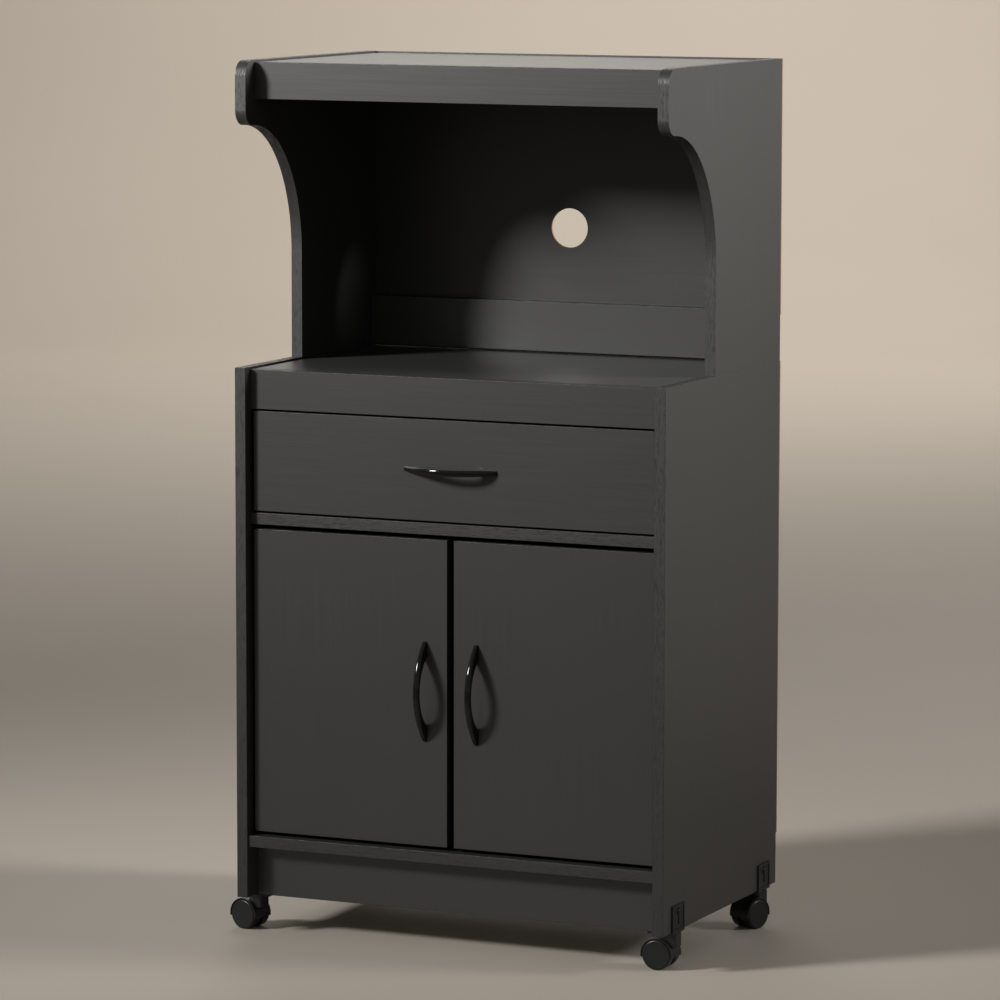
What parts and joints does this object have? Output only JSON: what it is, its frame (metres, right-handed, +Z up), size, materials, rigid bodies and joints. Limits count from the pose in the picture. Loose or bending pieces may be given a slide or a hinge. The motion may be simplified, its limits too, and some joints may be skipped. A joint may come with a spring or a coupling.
{
  "type": "microwave cart",
  "caption": "Kitchen cart for a microwave: open hutch with curved sides, drawer, cupboard with hinged doors, and swivelling twin-wheel casters.",
  "frame": {"origin": "on the floor, under the middle of the case (middle of the width, middle of the depth with its back sheet)", "axes": "+X to the cart's right as one faces it, +Y to the back, +Z up"},
  "size_m": [0.6418, 0.403, 1.135],
  "materials": {
    "laminate_board": "satin black-grey wood-grain melamine on particle board",
    "back_sheet": "matt printed hardboard",
    "drawer_board": "matt foil-wrapped board",
    "handle_black": "gloss black",
    "hinge_steel": "nickel-plated",
    "slide_steel": "black powder coat",
    "roller_nylon": "natural nylon",
    "cam_zinc": "die-cast zinc",
    "support_plastic": "matt black",
    "bracket_black": "black powder coat",
    "caster_black": "matt black",
    "wheel_black": "satin black"
  },
  "bodies": {
    "cabinet": {"base_side_left": "laminate_board", "base_side_right": "laminate_board", "worktop": "laminate_board", "worktop_apron": "laminate_board", "drawer_divider": "laminate_board", "bottom_board": "laminate_board", "toe_kick": "laminate_board", "cabinet_shelf": "laminate_board", "hutch_side_left": "laminate_board", "hutch_side_right": "laminate_board", "hutch_top": "laminate_board", "hutch_apron": "laminate_board", "hutch_back_rail": "laminate_board", "base_back_sheet": "back_sheet", "hutch_back_sheet": "back_sheet", "hinge_arms": "hinge_steel", "slide_rail_left": "slide_steel", "slide_rail_right": "slide_steel", "cam_locks": "cam_zinc", "shelf_supports": "support_plastic", "caster_brackets": "bracket_black"},
    "door_left": {"door_left": "laminate_board", "door_left_handle": "handle_black", "door_left_hinge_cups": "hinge_steel"},
    "door_right": {"door_right": "laminate_board", "door_right_handle": "handle_black", "door_right_hinge_cups": "hinge_steel"},
    "drawer": {"drawer_front": "laminate_board", "drawer_handle": "handle_black", "drawer_side_left": "drawer_board", "drawer_side_right": "drawer_board", "drawer_back": "drawer_board", "drawer_bottom": "back_sheet", "drawer_runner_left": "slide_steel", "drawer_runner_right": "slide_steel"},
    "rail_rollers": {"rail_rollers": "roller_nylon"},
    "runner_rollers": {"runner_rollers": "roller_nylon"},
    "caster_front_left": {"caster_front_left_hood": "caster_black"},
    "caster_front_left_wheel_a": {"caster_front_left_wheel_a": "wheel_black"},
    "caster_front_left_wheel_b": {"caster_front_left_wheel_b": "wheel_black"},
    "caster_front_right": {"caster_front_right_hood": "caster_black"},
    "caster_front_right_wheel_a": {"caster_front_right_wheel_a": "wheel_black"},
    "caster_front_right_wheel_b": {"caster_front_right_wheel_b": "wheel_black"},
    "caster_rear_left": {"caster_rear_left_hood": "caster_black"},
    "caster_rear_left_wheel_a": {"caster_rear_left_wheel_a": "wheel_black"},
    "caster_rear_left_wheel_b": {"caster_rear_left_wheel_b": "wheel_black"},
    "caster_rear_right": {"caster_rear_right_hood": "caster_black"},
    "caster_rear_right_wheel_a": {"caster_rear_right_wheel_a": "wheel_black"},
    "caster_rear_right_wheel_b": {"caster_rear_right_wheel_b": "wheel_black"}
  },
  "joints": [
    {"name": "drawer_slide", "type": "slide", "parent": "cabinet", "child": "drawer", "axis": [0, -1, 0], "range_m": [0, 0.25]},
    {"name": "door_left_hinge", "type": "hinge", "parent": "cabinet", "child": "door_left", "pos_m": [-0.27, -0.1735, 0.335], "axis": [0, 0, -1], "range_deg": [0, 95]},
    {"name": "door_right_hinge", "type": "hinge", "parent": "cabinet", "child": "door_right", "pos_m": [0.27, -0.1735, 0.335], "axis": [0, 0, 1], "range_deg": [0, 95]},
    {"name": "rail_roller_spin", "type": "hinge", "parent": "cabinet", "child": "rail_rollers", "pos_m": [0, -0.149, 0.57375], "axis": [1, 0, 0], "range_deg": [-30, 1600]},
    {"name": "runner_roller_spin", "type": "hinge", "parent": "drawer", "child": "runner_rollers", "pos_m": [0, 0.165, 0.5734], "axis": [1, 0, 0], "range_deg": [-30, 1600]},
    {"name": "caster_front_left_swivel", "type": "hinge", "parent": "cabinet", "child": "caster_front_left", "pos_m": [-0.2925, -0.1465, 0.04], "axis": [0, 0, 1], "continuous": true},
    {"name": "caster_front_left_wheel_a_spin", "type": "hinge", "parent": "caster_front_left", "child": "caster_front_left_wheel_a", "pos_m": [-0.3071, -0.14306, 0.0195], "axis": [-0.2292, -0.9734, 0], "continuous": true},
    {"name": "caster_front_left_wheel_b_spin", "type": "hinge", "parent": "caster_front_left", "child": "caster_front_left_wheel_b", "pos_m": [-0.3071, -0.14306, 0.0195], "axis": [-0.2292, -0.9734, 0], "continuous": true},
    {"name": "caster_front_right_swivel", "type": "hinge", "parent": "cabinet", "child": "caster_front_right", "pos_m": [0.2925, -0.1465, 0.04], "axis": [0, 0, 1], "continuous": true},
    {"name": "caster_front_right_wheel_a_spin", "type": "hinge", "parent": "caster_front_right", "child": "caster_front_right_wheel_a", "pos_m": [0.2775, -0.1465, 0.0195], "axis": [0, -1, 0], "continuous": true},
    {"name": "caster_front_right_wheel_b_spin", "type": "hinge", "parent": "caster_front_right", "child": "caster_front_right_wheel_b", "pos_m": [0.2775, -0.1465, 0.0195], "axis": [0, -1, 0], "continuous": true},
    {"name": "caster_rear_left_swivel", "type": "hinge", "parent": "cabinet", "child": "caster_rear_left", "pos_m": [-0.2925, 0.146, 0.04], "axis": [0, 0, 1], "continuous": true},
    {"name": "caster_rear_left_wheel_a_spin", "type": "hinge", "parent": "caster_rear_left", "child": "caster_rear_left_wheel_a", "pos_m": [-0.3066, 0.14087, 0.0195], "axis": [0.342, -0.9397, 0], "continuous": true},
    {"name": "caster_rear_left_wheel_b_spin", "type": "hinge", "parent": "caster_rear_left", "child": "caster_rear_left_wheel_b", "pos_m": [-0.3066, 0.14087, 0.0195], "axis": [0.342, -0.9397, 0], "continuous": true},
    {"name": "caster_rear_right_swivel", "type": "hinge", "parent": "cabinet", "child": "caster_rear_right", "pos_m": [0.2925, 0.146, 0.04], "axis": [0, 0, 1], "continuous": true},
    {"name": "caster_rear_right_wheel_a_spin", "type": "hinge", "parent": "caster_rear_right", "child": "caster_rear_right_wheel_a", "pos_m": [0.28737, 0.1319, 0.0195], "axis": [0.9397, -0.342, 0], "continuous": true},
    {"name": "caster_rear_right_wheel_b_spin", "type": "hinge", "parent": "caster_rear_right", "child": "caster_rear_right_wheel_b", "pos_m": [0.28737, 0.1319, 0.0195], "axis": [0.9397, -0.342, 0], "continuous": true}
  ],
  "couplings": [
    {"joint": "rail_roller_spin", "follows": "drawer_slide", "rad_per_m": 106.38},
    {"joint": "runner_roller_spin", "follows": "drawer_slide", "rad_per_m": 106.95}
  ]
}
